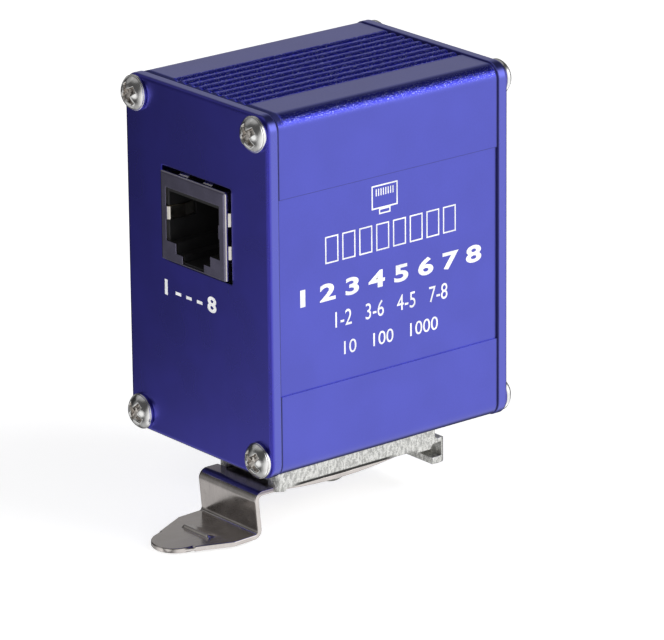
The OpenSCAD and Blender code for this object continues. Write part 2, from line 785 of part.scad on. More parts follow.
module circuit_board() {
    hole = tube_lead_d + 0.2;
    strap_x = strap_foot_end + strap_bend_r;
    color([0.1, 0.4, 0.2]) difference() {
        translate([-board_length / 2, -board_width / 2, board_bottom])
            cube([board_length, board_width, board_t]);
        for (side = [-1, 1]) at_socket(side) {
            for (s = [-1, 1]) {
                translate([peg_x, s * peg_y, -board_t - past])
                    cylinder(d = peg_d + 2 * air, h = board_t + 2 * past);
                translate([peg_x, s * (socket_width - shield_t) / 2, -board_t - past])
                    linear_extrude(board_t + 2 * past)
                        square([foot_width + 2 * air, shield_t + 2 * air], center = true);
            }
            for (k = [0 : 7])
                translate([tail_row(k), contact_y(k), -board_t - past])
                    cylinder(d = 2 * contact_t, h = board_t + 2 * past, $fn = 16);
        }
        for (sx = [-1, 1], sy = [-1, 1], k = [-1, 0, 1])
            translate([sx * tube_x, sy * tube_y + k * (tube_length - tube_ring) / 2, board_bottom - past])
                cylinder(d = hole, h = board_t + 2 * past, $fn = 24);
        translate([strap_x - strap_t / 2 - air, -strap_tab_width / 2 - air, board_bottom - past])
            cube([strap_t + 2 * air, strap_tab_width + 2 * air, board_t + 2 * past]);
    }
}

// Three-electrode gas tube across Y with its leads; its middle lies at the origin
module gas_tube(drop) {
    half = tube_length / 2;
    rotate([90, 0, 0]) {
        translate([0, 0, -half]) cylinder(d = tube_d - 0.3, h = tube_length);
        for (z = [-half, -tube_ring / 2, half - tube_ring]) translate([0, 0, z])
            cylinder(d = tube_d, h = tube_ring);
    }
    for (k = [-1, 0, 1]) translate([0, k * (half - tube_ring / 2), -drop])
        cylinder(d = tube_lead_d, h = drop, $fn = 24);
}

module gas_tubes() {
    seat = tube_d / 2 + 0.3;
    color([0.85, 0.83, 0.78]) for (sx = [-1, 1], sy = [-1, 1])
        translate([sx * tube_x, sy * tube_y, board_top + seat]) gas_tube(seat + board_t + 1);
}

module clamp_diodes() {
    block = diode_length - 2 * diode_foot / 3;
    color([0.15, 0.15, 0.15]) for (sx = [-1, 1], y = diode_rows)
        translate([sx * diode_x, y, board_bottom]) {
            translate([-diode_width / 2, -block / 2, -diode_height])
                cube([diode_width, block, diode_height - air]);
            for (s = [-1, 1]) translate([-diode_foot, s * (diode_length - diode_foot) / 2 - diode_foot / 2,
                -diode_height / 2]) cube([2 * diode_foot, diode_foot, diode_height / 2]);
        }
}

housing();
line_end_plate();
equipment_end_plate();
line_plate_screws();
equipment_plate_screws();
clip_body();
latch_leaf();
latch_tongue();
clip_rivets();
earth_strap();
circuit_board();
gas_tubes();
clamp_diodes();
line_jack_shield();
line_jack_body();
line_jack_insert();
line_contacts();
line_contact_tails();
equipment_jack_shield();
equipment_jack_body();
equipment_jack_insert();
equipment_contacts();
equipment_contact_tails();
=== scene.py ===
"""Dresses a small surge protector on a spring clip.

It gives the case, plates, sockets and clip their finishes and makes new pieces for the screws, the latch
strip, the sockets' finger edges and the print. Lengths in the settings are metres, in the part's frame."""

import math

import bpy
import numpy as np
from bpy.props import FloatProperty, FloatVectorProperty, PointerProperty
from mathutils import Euler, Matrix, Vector


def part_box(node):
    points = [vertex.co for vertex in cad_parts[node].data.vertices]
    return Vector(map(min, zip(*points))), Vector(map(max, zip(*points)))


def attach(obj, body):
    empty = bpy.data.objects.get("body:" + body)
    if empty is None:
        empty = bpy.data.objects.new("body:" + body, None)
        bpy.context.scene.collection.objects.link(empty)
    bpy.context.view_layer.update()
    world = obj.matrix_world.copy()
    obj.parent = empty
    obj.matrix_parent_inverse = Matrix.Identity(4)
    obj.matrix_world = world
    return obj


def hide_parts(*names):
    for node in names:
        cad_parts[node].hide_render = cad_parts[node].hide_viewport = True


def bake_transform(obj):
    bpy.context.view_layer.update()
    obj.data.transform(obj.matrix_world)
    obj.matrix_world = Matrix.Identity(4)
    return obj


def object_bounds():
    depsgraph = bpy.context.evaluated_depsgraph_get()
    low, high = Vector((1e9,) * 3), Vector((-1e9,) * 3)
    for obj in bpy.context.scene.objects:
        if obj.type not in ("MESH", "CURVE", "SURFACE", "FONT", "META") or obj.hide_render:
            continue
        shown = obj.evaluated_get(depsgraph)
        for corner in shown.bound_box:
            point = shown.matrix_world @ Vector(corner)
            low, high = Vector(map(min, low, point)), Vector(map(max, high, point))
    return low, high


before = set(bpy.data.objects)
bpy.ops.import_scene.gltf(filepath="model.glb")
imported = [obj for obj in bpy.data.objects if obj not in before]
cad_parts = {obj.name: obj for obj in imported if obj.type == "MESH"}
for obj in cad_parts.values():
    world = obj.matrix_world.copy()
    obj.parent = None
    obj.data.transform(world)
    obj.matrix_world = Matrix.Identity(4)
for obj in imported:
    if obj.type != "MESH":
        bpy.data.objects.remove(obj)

bl_info = {
    "name": "Data Line Surge Protector",
    "version": (1, 0, 0),
    "blender": (4, 5, 0),
    "location": "View3D > Sidebar > Protector",
    "description": "Finishes and fine pieces for a small surge protector on a spring clip",
    "category": "Add Mesh",
}

MM = 0.001
CAD_BOX = [list(corner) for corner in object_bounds()]
CASE_LOW, CASE_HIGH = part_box("housing")
LINE_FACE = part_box("line_end_plate")[0].x
FAR_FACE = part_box("equipment_end_plate")[1].x
TONGUE_LOW, TONGUE_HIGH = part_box("latch_tongue")
LEAF_LOW, LEAF_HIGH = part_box("latch_leaf")
SCREWS_LOW, SCREWS_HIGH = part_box("line_plate_screws")
SHIELD_OUT = -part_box("line_jack_shield")[0].x

# The two ends: which way along X each one faces, where its plate's face lies and its name
ENDS = ((-1.0, LINE_FACE, "line"), (1.0, FAR_FACE, "equipment"))

# Contacts of a socket
WAYS = 8

# Width of the lines, size of the smudges and size of the pits in plated and rolled metal
METAL_LINE, METAL_SMUDGE, METAL_PIT = 0.12 * MM, 3.0 * MM, 0.35 * MM

# Size of the clouds in moulded plastic and depth of its grain
PLASTIC_CLOUD, PLASTIC_DEPTH = 4.0 * MM, 0.004 * MM

# Dyed finish: sizes of painted glints and of clouds, depth and fade of the plates' painted light rims, length
# of the painted shade behind the line plate, and depths under the top that hold the ribs and its rounded edges
GLINT_SIZE, CLOUD, RIM, RIM_FADE = 0.16 * MM, 9.0 * MM, 0.70 * MM, 0.50 * MM
SHADE, RIB_DEPTH, BEND_DEPTH = 1.2 * MM, 1.0 * MM, 1.9 * MM

# Painted shade line under the printed field's ledge: half widths of its core and of the whole line, and depth
# of the front with it
LEDGE_SHADE_CORE, LEDGE_SHADE_LINE, FRONT_DEPTH = 0.03 * MM, 0.16 * MM, 0.5 * MM

# Cast alloy: size of the streaks and pits, depth of both, and fades of the painted shade on the lower edge
# along Z and X
STREAK, CAST_PIT, CAST_DEPTH, GAP_FADE, REACH_FADE = 0.50 * MM, 0.25 * MM, 0.18 * MM, 0.20 * MM, 3.0 * MM

# Shields: depths behind the front at which its painted shade starts and is full
FRONT_SHADE_START, FRONT_SHADE_FULL = 0.25 * MM, 0.08 * MM

# A side finger's rolled edge: radius, depth in the mouth, distance from the socket's middle, level and height
FINGER_RADIUS, FINGER_SINK, FINGER_PLACE = 0.50 * MM, 0.05 * MM, 6.32 * MM
FINGER_LEVEL, FINGER_HEIGHT = 43.05 * MM, 2.0 * MM

# Strip: depths under its top at which the painted shade over the bend starts and is full, length of a step in
# its width, half width of its last ring, width of the ridge's steep front and length over which its ends fall
BEND_SHADE_START, BEND_SHADE_FULL, NECK_STEP = 0.70 * MM, 0.30 * MM, 0.20 * MM
TIP_HALF, RIDGE_FRONT, RIDGE_END = 0.08 * MM, 0.25 * MM, 0.60 * MM

# Steps round a screw, over its recess and over the rest of its dome
TURN_STEPS, RECESS_STEPS, DOME_STEPS = 160, 54, 9

# Turn of the recess in each of an end's four screws, in degrees
RECESS_TURNS = (47, 38, 52, 33)

# Steps of the strip over its bow, the bend that relaxes it, its level run, a tight bend, the leg, the tongue
# and the tongue's round tip, and points across one of its faces
BOW_STEPS, RELAX_STEPS, RUN_STEPS, BEND_STEPS = 60, 6, 60, 18
LEG_STEPS, TONGUE_STEPS, TIP_STEPS, ACROSS_POINTS = 16, 140, 34, 57

# Rows of print: the text, its left and right sides, its foot and its head in millimetres, and how far its
# strokes are thickened, as a share of the font's size
FRONT_ROWS = (
    ("1 2 3 4 5 6 7 8", (-17.0, 18.0, 32.4, 35.2), 0.030),
    ("1-2   3-6   4-5   7-8", (-10.4, 11.3, 27.9, 30.4), 0.0),
    ("10   100   1000", (-8.8, 9.4, 23.4, 25.5), 0.0),
)
PLATE_ROW = ("1 - - - 8", (-8.2, 4.4, 29.6, 32.1), 0.030)

# Printed boxes in millimetres: left side of the first, pitch, width, foot and height
BOX_ROW = (-12.2, 3.24, 2.5, 38.2, 4.2)

# Printed socket in millimetres: middle, foot, half width and height over its tab; half width and height of the
# tab; pitch of the pins, their foot over the tab's foot and their height
SIGN, SIGN_TAB, SIGN_PINS = (-0.8, 43.8, 2.5, 3.7), (1.1, 0.9), (0.46, 2.9, 1.1)

# Lamps: name, place, side and power in watts; and the place at which they are aimed
LAMPS = (
    ("key lamp", (0.45, -0.75, 0.85), 0.6, 5.0),
    ("fill lamp", (-0.85, -0.35, 0.6), 0.6, 3.0),
)
LAMP_AIM = (0.0, 0.0, 0.03)

# The card: middle, way from there to its far side, heights of its lower and upper sides; and where its light
# grows towards its near side, ends over its foot and falls under its head
CARD_MIDDLE, CARD_WAY, CARD_SIDES = (-0.125, 0.145, 0.0), (0.1248, 0.0992, 0.0), (-0.26, 0.12)
CARD_NEAR, CARD_FOOT, CARD_HEAD = (-0.108, -0.188), (-0.100, -0.030), (0.015, 0.050)

# Light of the surroundings everywhere, and its brighter patches: the way towards each, the cosines of the
# angles off that way at which it starts and is full, and the light that it adds
ROOM_LIGHT = 0.07
PATCHES = (
    ((0.30, -0.90, -0.32), 0.15, 0.72, 0.93),
    ((0.59, -0.72, 0.36), 0.91, 0.975, 0.80),
    ((-0.94, -0.18, -0.20), 0.935, 0.985, 0.90),
    ((0.58, 0.78, 0.16), 0.76, 0.97, 0.29),
    ((-0.31, 0.74, 0.60), 0.93, 0.98, 0.22),
    ((-0.15, 0.25, 0.95), 0.80, 0.97, 0.30),
    ((0.0, 0.0, -1.0), 0.75, 0.97, 0.35),
)


def length(name, description, default):
    """A length in metres, shown in the panel in the scene's unit."""
    return FloatProperty(name=name, description=description, default=default, unit="LENGTH", precision=5)


def angle(name, description, degrees):
    """An angle, given in degrees and shown in the panel in the scene's unit."""
    return FloatProperty(name=name, description=description, default=math.radians(degrees), subtype="ANGLE")


def number(name, description, default):
    """A plain number."""
    return FloatProperty(name=name, description=description, default=default)


def vector(name, description, default, subtype):
    """Three numbers that give a place or a turn."""
    return FloatVectorProperty(name=name, description=description, default=default, subtype=subtype, size=3,
                               precision=5)


def colour(name, description, default):
    """A linear colour without alpha."""
    return FloatVectorProperty(name=name, description=description, default=default, subtype="COLOR", size=3,
                               min=0.0, max=1.0)


class CaseSettings(bpy.types.PropertyGroup):
    """Finish of the extruded case and its end plates"""
    anodising: colour("Anodising", "Colour of the extruded case", (0.086, 0.096, 0.580))
    # Painted shading: a bluer tint on the ribs, and in part on the top's rounded edges, for how light falls on
    # them
    rib_shading_tint: colour("Rib anodising", "Colour of the top's round ribs", (0.055, 0.058, 0.780))
    plate_anodising: colour("Plate anodising", "Colour of the two end plates", (0.048, 0.042, 0.500))
    # Painted light: a lighter tint on the end plates' rims
    rim_light_tint: colour("Rim anodising", "Colour of the end plates' rims", (0.120, 0.132, 0.600))
    # Painted glints: small bright dots in the colour of the ribs and rounded edges
    glint_colour: colour("Speck colour", "Colour of the bright specks on the ribs", (0.42, 0.45, 1.0))
    grain: length("Grain", "Size of the grains of the blasted surface", 0.28 * MM)
    grain_depth: length("Grain depth", "Depth of the grains of the blasted surface", 0.04 * MM)
    edge: length("Edge", "Rounding of the case's cut edges", 0.10 * MM)
    plate_edge: length("Plate edge", "Softness of the end plates' edges", 0.40 * MM)
    # Painted shade in the seams between case and plates
    seam: length("Seam", "Half width of the dark seams between case and plates", 0.32 * MM)
    rib_field: length("Rib field", "Half width of the ribbed stretch of the top", 9.2 * MM)
    ledge: length("Ledge", "Height of the printed field's upper ledge", 49.8 * MM)


class SocketSettings(bpy.types.PropertyGroup):
    """Finish of the two sockets and their side fingers"""
    tin: colour("Tin", "Colour of the shields", (0.66, 0.63, 0.58))
    # Painted shade: a darker tint on the shields' fronts
    front_shade_tin: colour("Front tin", "Colour of the shields' fronts", (0.25, 0.235, 0.34))
    edge: length("Edge", "Rounding of the shields' edges", 0.12 * MM)
    plastic: colour("Plastic", "Colour of the bodies and contact inserts", (0.012, 0.012, 0.013))
    gold: colour("Gold", "Colour of the contact wires", (0.83, 0.60, 0.24))
    wire_edge: length("Wire edge", "Rounding of the contact wires' edges", 0.03 * MM)
    finger_tin: colour("Finger tin", "Colour of the fingers' rolled edges", (0.80, 0.76, 0.69))


class InnerSettings(bpy.types.PropertyGroup):
    """Finish of the board and the parts on it"""
    board: colour("Board", "Colour of the circuit board's lacquer", (0.02, 0.13, 0.05))
    tube: colour("Tube", "Colour of the gas tubes", (0.72, 0.70, 0.64))
    diode: colour("Diode", "Colour of the clamp diodes", (0.02, 0.02, 0.02))
    brass: colour("Brass", "Colour of the earth strap", (0.70, 0.52, 0.25))


class ClipSettings(bpy.types.PropertyGroup):
    """Finish of the cast clip body and its rivets"""
    zinc: colour("Zinc", "Colour of the cast body", (0.71, 0.71, 0.68))
    rivet: colour("Rivet", "Colour of the rivets", (0.70, 0.69, 0.64))
    edge: length("Edge", "Rounding of the cast body's edges", 0.25 * MM)
    rivet_edge: length("Rivet edge", "Rounding of the rivets' edges", 0.10 * MM)
    # Painted shade on the cast body's lower edge over the bowed strip
    gap_shade_height: length("Gap height", "Height of the dark lower edge over the bowed strip", 0.90 * MM)
    gap_shade_reach: length("Gap reach", "Half length of the dark lower edge", 11.0 * MM)


class ScrewSettings(bpy.types.PropertyGroup):
    """Form and finish of the round-headed plate screws"""
    steel: colour("Steel", "Colour of the heads", (0.95, 0.94, 0.92))
    # Painted shade: a darker steel inside the recesses
    recess_shade_steel: colour("Recess steel", "Colour inside the recesses", (0.60, 0.56, 0.52))
    head_radius: length("Head radius", "Radius of a screw's head", 2.75 * MM)
    head_height: length("Head height", "Height of a screw's head", 2.1 * MM)
    rim: length("Rim", "Height of the upright wall under the dome", 0.5 * MM)
    corner: length("Corner", "Rounding between the dome and the wall", 0.12 * MM)
    shank_radius: length("Shank radius", "Radius of a screw's shank", 1.45 * MM)
    shank_length: length("Shank length", "Length of a screw's shank", 9.0 * MM)
    point: length("Point", "Length of the shank's narrow end", 0.5 * MM)
    reach: length("Reach", "Reach of the cross recess from the middle", 1.75 * MM)
    wing_width: length("Wing width", "Half width of a recess wing at the middle", 0.66 * MM)
    recess_depth: length("Recess depth", "Depth of the recess at the middle", 1.1 * MM)
    recess_wall: length("Recess wall", "Width over which the recess falls", 0.30 * MM)


class StripSettings(bpy.types.PropertyGroup):
    """Form and finish of the bent spring strip"""
    steel: colour("Steel", "Colour of the strip", (0.66, 0.615, 0.59))
    # Painted shade: a darker tint on the strip's highest stretch, over the bend at the near lip
    bend_shade_steel: colour("Bend steel", "Colour over the bend at the near lip", (0.28, 0.25, 0.29))
    thickness: length("Thickness", "Thickness of the strip", 0.8 * MM)
    neck: length("Neck", "Half width of the strip between the near feet", 5.0 * MM)
    neck_length: length("Neck length", "Length of the neck", 2.1 * MM)
    edge: length("Edge", "Rounding of the strip's edges", 0.18 * MM)
    bow_radius: length("Bow radius", "Radius of the bowed stretch under the clip body", 83.0 * MM)
    bow_middle: length("Bow middle", "Place of the bow's lowest point along X", -1.5 * MM)
    relax_radius: length("Relax radius", "Radius of the bend at the bow's end", 5.0 * MM)
    lip_radius: length("Lip radius", "Radius of the bend over the near lip", 1.1 * MM)
    lip_place: length("Lip place", "Place of the leg's outer face along X at the lip", -18.3 * MM)
    leg: length("Leg", "Straight length of the leg", 4.52 * MM)
    lean: angle("Lean", "Lean of the leg towards the clip", 5.5)
    fold_radius: length("Fold radius", "Radius of the bend from the leg to the tongue", 0.95 * MM)
    heading: angle("Heading", "Fall of the tongue towards its tip", 1.7)
    taper: angle("Taper", "Angle of the tongue's tapered sides", 25.0)
    tip_radius: length("Tip radius", "Radius of the tongue's tip", 4.0 * MM)
    ridge_place: length("Ridge place", "Distance of the pressed ridge from the leg", 5.2 * MM)
    ridge_length: length("Ridge length", "Length of the ridge across the tongue", 6.2 * MM)
    ridge_width: length("Ridge width", "Width of the ridge", 2.0 * MM)
    ridge_height: length("Ridge height", "Height of the ridge", 0.55 * MM)


class PrintSettings(bpy.types.PropertyGroup):
    """Print on the front side and on the line plate"""
    ink: colour("Ink", "Colour of the print", (0.90, 0.91, 0.94))
    film: length("Film", "Thickness of the print", 0.02 * MM)
    line: length("Line", "Width of the thin printed lines", 0.22 * MM)
    field_depth: length("Field depth", "Depth of the printed field in the front side", 0.25 * MM)


class StageSettings(bpy.types.PropertyGroup):
    """Camera and floor"""
    camera_place: vector("Camera place", "Place of the camera",
                         (-0.473651, -0.592260, 0.278405), "TRANSLATION")
    camera_turn: vector("Camera turn", "Turn of the camera about X, Y and Z",
                        tuple(math.radians(a) for a in (71.35463, 0.54919, -38.98371)), "EULER")
    lens: number("Lens", "Focal length of the camera in millimetres", 285.379)
    floor_drop: length("Floor drop", "Gap from the part's lowest point to the floor", 0.3 * MM)
    floor_size: length("Floor size", "Side of the square floor", 4.0)
    floor_white: colour("Floor white", "Colour of the floor", (0.80, 0.80, 0.80))
    floor_glow: number("Floor glow", "Light that the floor gives off", 0.68)


class Flow:
    """A value in a material's node tree. Operators on it add the Math nodes that work the value out."""

    def __init__(self, tree, socket=None):
        self.tree = tree
        self.socket = socket

    def node(self, kind, settings=None, values=None, output=0):
        """Adds a node of that kind, sets it up, gives its sockets values or links and returns one output."""
        made = self.tree.nodes.new(kind)
        for key, value in (settings or {}).items():
            setattr(made, key, value)
        for key, value in (values or {}).items():
            if isinstance(value, Flow):
                self.tree.links.new(value.socket, made.inputs[key])
            else:
                made.inputs[key].default_value = value
        return Flow(self.tree, made.outputs[output] if len(made.outputs) else None)

    def math(self, operation, first, second):
        """A Math node on two values."""
        return self.node("ShaderNodeMath", {"operation": operation}, {0: first, 1: second})

    def __add__(self, other):
        return self.math("ADD", self, other)

    def __radd__(self, other):
        return self.math("ADD", other, self)

    def __sub__(self, other):
        return self.math("SUBTRACT", self, other)

    def __rsub__(self, other):
        return self.math("SUBTRACT", other, self)

    def __mul__(self, other):
        return self.math("MULTIPLY", self, other)

    def __rmul__(self, other):
        return self.math("MULTIPLY", other, self)

    def between(self, low, high):
        """0 at or under low, 1 at or over high, and smooth in between."""
        return self.node("ShaderNodeMapRange", {"interpolation_type": "SMOOTHSTEP"},
                         {"Value": self, "From Min": low, "From Max": high})

    def mix(self, first, second):
        """The first colour where this value is 0 and the second where it is 1."""
        return self.node("ShaderNodeMix", {"data_type": "RGBA"}, {"Factor": self, 6: first, 7: second}, 2)


def rgba(tint, gain=1.0):
    """A linear colour as four numbers, made lighter or darker by a gain."""
    return (*(min(1.0, part * gain) for part in tint[:3]), 1.0)


def noise(start, place, size, detail=2.0, stretch=(1.0, 1.0, 1.0)):
    """Noise from 0 to 1 with grains of that size, longer along an axis whose stretch is under 1."""
    spread = start.node("ShaderNodeMapping", {}, {"Vector": place, "Scale": stretch})
    return start.node("ShaderNodeTexNoise", {}, {"Vector": spread, "Scale": 1.0 / size, "Detail": detail})


def parts_of(start, place, axes):
    """The parts of a place along the named axes."""
    return [start.node("ShaderNodeSeparateXYZ", {}, {0: place}, axis) for axis in axes]


def apart(value, centre):
    """How far a value lies from a centre, either way."""
    off = value - centre
    return off.math("ABSOLUTE", off, 0.0)


def finish(name, build, **constants):
    """A material whose Principled BSDF has the constants set and takes what build(start, place) returns."""
    material = bpy.data.materials.new(name)
    material.use_nodes = True
    tree = material.node_tree
    shader = tree.nodes["Principled BSDF"]
    for key, value in constants.items():
        shader.inputs[key.replace("_", " ")].default_value = value
    start = Flow(tree)
    place = start.node("ShaderNodeTexCoord", output="Object")
    for key, flow in build(start, place).items():
        tree.links.new(flow.socket, shader.inputs[key])
    material.diffuse_color = constants["Base_Color"]
    return material


def plain_shader(name):
    """A new material without nodes, and the start of its tree."""
    material = bpy.data.materials.new(name)
    material.use_nodes = True
    material.node_tree.nodes.clear()
    return material, Flow(material.node_tree)


def relief(start, height, depth, edge=0.0):
    """A normal bumped by a height from 0 to 1 that stands for that depth, on edges rounded by a radius."""
    values = {"Height": height, "Distance": depth, "Strength": 1.0}
    if edge:
        values["Normal"] = start.node("ShaderNodeBevel", {"samples": 6}, {"Radius": edge})
    return start.node("ShaderNodeBump", {}, values)


def off_seam_shade(x, settings):
    """0 in the painted shade of the seams between the case and its two plates, and 1 away from them."""
    return apart(apart(x, 0.0), CASE_HIGH.x).between(0.2 * settings.seam, settings.seam)


def case_blue(settings):
    """Blasted and dyed aluminium under a clear oxide, with fine grains, and painted glints on the ribs and
    edges.

    The top's round ribs are less glossy and coarser than the flats, and its rounded edges partly so; a bluer
    tint on them is painted shading. Painted shade darkens the seams against the end plates, the top behind the
    line plate and the corner under the printed field's upper ledge."""
    tint = settings.anodising

    def build(start, place):
        x, y, z = parts_of(start, place, "XYZ")
        under_top, behind_front = CASE_HIGH.z - z, y - CASE_LOW.y
        grains = noise(start, place, settings.grain, 1.5)
        cloud = noise(start, place, CLOUD)
        on_top = 1.0 - under_top.between(0.6 * RIB_DEPTH, 1.6 * RIB_DEPTH)
        # Painted shade on the top behind the line plate
        shade_by_plate = 1.0 - (x - CASE_LOW.x).between(0.75 * SHADE, 1.25 * SHADE)
        off_ledge_shade = apart(z, settings.ledge).between(LEDGE_SHADE_CORE, LEDGE_SHADE_LINE)
        on_front = 1.0 - behind_front.between(0.8 * FRONT_DEPTH, 1.2 * FRONT_DEPTH)
        # Painted shade: unshaded is 0 in the seams and on the top behind the line plate
        unshaded = off_seam_shade(x, settings) * (1.0 - shade_by_plate * on_top)
        # Painted shade, at half strength, in the corner under the ledge on the front side
        unshaded = unshaded * (1.0 - 0.5 * (1.0 - off_ledge_shade) * on_front)
        ribs = 1.0 - apart(y, 0.0).between(settings.rib_field, settings.rib_field + 0.1 * RIB_DEPTH)
        ribs = ribs * (1.0 - under_top.between(0.8 * RIB_DEPTH, RIB_DEPTH))
        bends = (1.0 - under_top.between(RIB_DEPTH, BEND_DEPTH)) * (1.0 - ribs)
        bends = bends * under_top.between(0.1 * RIB_DEPTH, 0.3 * RIB_DEPTH)
        coarse = ribs + bends
        # Painted glints: small bright dots on the ribs and rounded edges
        glints = coarse * noise(start, place, GLINT_SIZE, 0.0).between(0.62, 0.70)
        flat = (0.7 * cloud + 0.3 * grains).between(0.25, 0.75).mix(rgba(tint, 0.94), rgba(tint, 1.06))
        # Painted shading: the ribs and, at 0.6, the rounded edges take the bluer tint
        blue = (ribs + 0.6 * bends).mix(flat, rgba(settings.rib_shading_tint))
        return {
            "Base Color": unshaded.mix(rgba(tint, 0.18), glints.mix(blue, rgba(settings.glint_colour))),
            "Metallic": unshaded,
            "Roughness": grains.between(0.3, 0.8) * 0.06 + (0.88 - 0.60 * unshaded),
            "Coat Weight": unshaded * (0.62 - 0.57 * coarse),
            "Normal": relief(start, grains * (0.15 + 1.5 * coarse), settings.grain_depth, settings.edge),
        }
    return finish("case blue", build, Base_Color=rgba(tint), Coat_Roughness=0.22, Coat_IOR=1.6)


def plate_blue(settings):
    """Smooth dyed plate under a clear oxide, with painted light on its rims and painted shade at the case
    seam.
    """
    tint = settings.plate_anodising

    def build(start, place):
        x, = parts_of(start, place, "X")
        grains = noise(start, place, settings.grain, 1.5)
        cloud = noise(start, place, CLOUD)
        # Painted shade: unshaded is 0 in the seam against the case
        unshaded = off_seam_shade(x, settings)
        # Painted light: the rims take a lighter tint than the outer face
        face = apart(x, 0.0).between(FAR_FACE - RIM, FAR_FACE - RIM + RIM_FADE)
        flat = (0.9 * cloud + 0.1 * grains).between(0.25, 0.75).mix(rgba(tint, 0.93), rgba(tint, 1.07))
        return {
            "Base Color": unshaded.mix(rgba(tint, 0.18), face.mix(rgba(settings.rim_light_tint), flat)),
            "Metallic": unshaded,
            "Roughness": cloud.between(0.3, 0.8) * 0.04 + (0.87 - 0.60 * unshaded),
            "Coat Weight": unshaded * 0.5,
            "Normal": relief(start, grains, 0.02 * settings.grain_depth, settings.plate_edge),
        }
    return finish("plate blue", build, Base_Color=rgba(tint), Coat_Roughness=0.22, Coat_IOR=1.6)


def plated(name, tint, rough, edge, along=(0.04, 1.0, 0.3), depth=0.001 * MM, painted_shade=None):
    """Plated or rolled metal: long faint rolling lines, small pits and a few smudges.

    A painted shade is a second, darker tint with an axis, X for the way out to either end or Z for the height,
    and the two places along it between which it grows to its full strength."""
    def toned(tone, shade):
        return tone.mix(rgba(shade, 0.88), rgba(shade, 1.08))

    def build(start, place):
        lines = noise(start, place, METAL_LINE, 2.0, along)
        smudge = noise(start, place, METAL_SMUDGE, 3.0)
        pits = noise(start, place, METAL_PIT)
        tone = (0.3 * lines + 0.6 * smudge + 0.1 * pits).between(0.3, 0.7)
        metal = toned(tone, tint)
        # Painted shade: a darker tint grown in along the axis
        if painted_shade:
            shade, axis, low, high = painted_shade
            reach, = parts_of(start, place, axis)
            if axis == "X":
                reach = apart(reach, 0.0)
            metal = reach.between(low, high).mix(metal, toned(tone, shade))
        return {
            "Base Color": metal,
            "Roughness": smudge.between(0.35, 0.75) * 0.10 + rough,
            "Normal": relief(start, 0.7 * lines + 0.3 * pits, depth, edge),
        }
    return finish(name, build, Base_Color=rgba(tint), Metallic=1.0)


def cast_zinc(settings, strip):
    """Cast alloy: sides rough with upright streaks, pits and bright worn grains.

    Painted shade darkens the lower edge over the bowed strip up to a level line, so it is widest where the bow
    is lowest and runs out at the bow's ends."""
    tint = settings.zinc
    bow_top = LEAF_LOW.z + strip.thickness

    def build(start, place):
        x, z = parts_of(start, place, "XZ")
        off_bow = apart(x, strip.bow_middle)
        over_bow = 1.0 - off_bow.between(settings.gap_shade_reach - REACH_FADE, settings.gap_shade_reach)
        over_gap = (z - bow_top).between(settings.gap_shade_height - GAP_FADE, settings.gap_shade_height)
        # lit is 0 where shade is painted on the lower edge
        lit = 1.0 - over_bow * (1.0 - over_gap)
        streaks = noise(start, place, STREAK, 3.0, (1.0, 1.0, 0.5))
        pits = noise(start, place, CAST_PIT)
        tone = (0.6 * streaks + 0.4 * pits).between(0.39, 0.61)
        return {
            "Base Color": lit.mix(rgba(tint, 0.06), tone.mix(rgba(tint, 0.64), rgba(tint, 1.20))),
            "Roughness": tone * -0.15 + 0.42,
            "Normal": relief(start, 0.6 * streaks + 0.4 * pits, CAST_DEPTH, settings.edge),
        }
    return finish("clip zinc", build, Base_Color=rgba(tint), Metallic=0.9)


def moulded(name, tint, rough, grain=0.12 * MM, edge=0.06 * MM):
    """Moulded plastic, glaze or lacquer: a fine even grain and a slightly varied gloss."""
    def build(start, place):
        grains = noise(start, place, grain)
        cloud = noise(start, place, PLASTIC_CLOUD)
        return {
            "Base Color": cloud.between(0.3, 0.7).mix(rgba(tint, 0.85), rgba(tint, 1.12)),
            "Roughness": grains * 0.1 + rough,
            "Normal": relief(start, grains, PLASTIC_DEPTH, edge),
        }
    return finish(name, build, Base_Color=rgba(tint))


def paint(nodes, material):
    """Gives carried-over nodes a material."""
    for name in nodes:
        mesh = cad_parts[name].data
        mesh.materials.clear()
        mesh.materials.append(material)


def new_piece(name, points, faces, materials, smooth=True):
    """A mesh object at the origin from an array of points and lists of faces."""
    mesh = bpy.data.meshes.new(name)
    mesh.from_pydata(points.tolist(), [], faces)
    mesh.polygons.foreach_set("use_smooth", np.full(len(mesh.polygons), smooth))
    for material in materials:
        mesh.materials.append(material)
    piece = bpy.data.objects.new(name, mesh)
    bpy.context.scene.collection.objects.link(piece)
    return piece


def gathered(parts):
    """One array of points and one list of faces from several."""
    points, faces, offset = [], [], 0
    for part_points, part_faces in parts:
        points.append(part_points)
        faces += [[corner + offset for corner in face] for face in part_faces]
        offset += len(part_points)
    return np.concatenate(points), faces


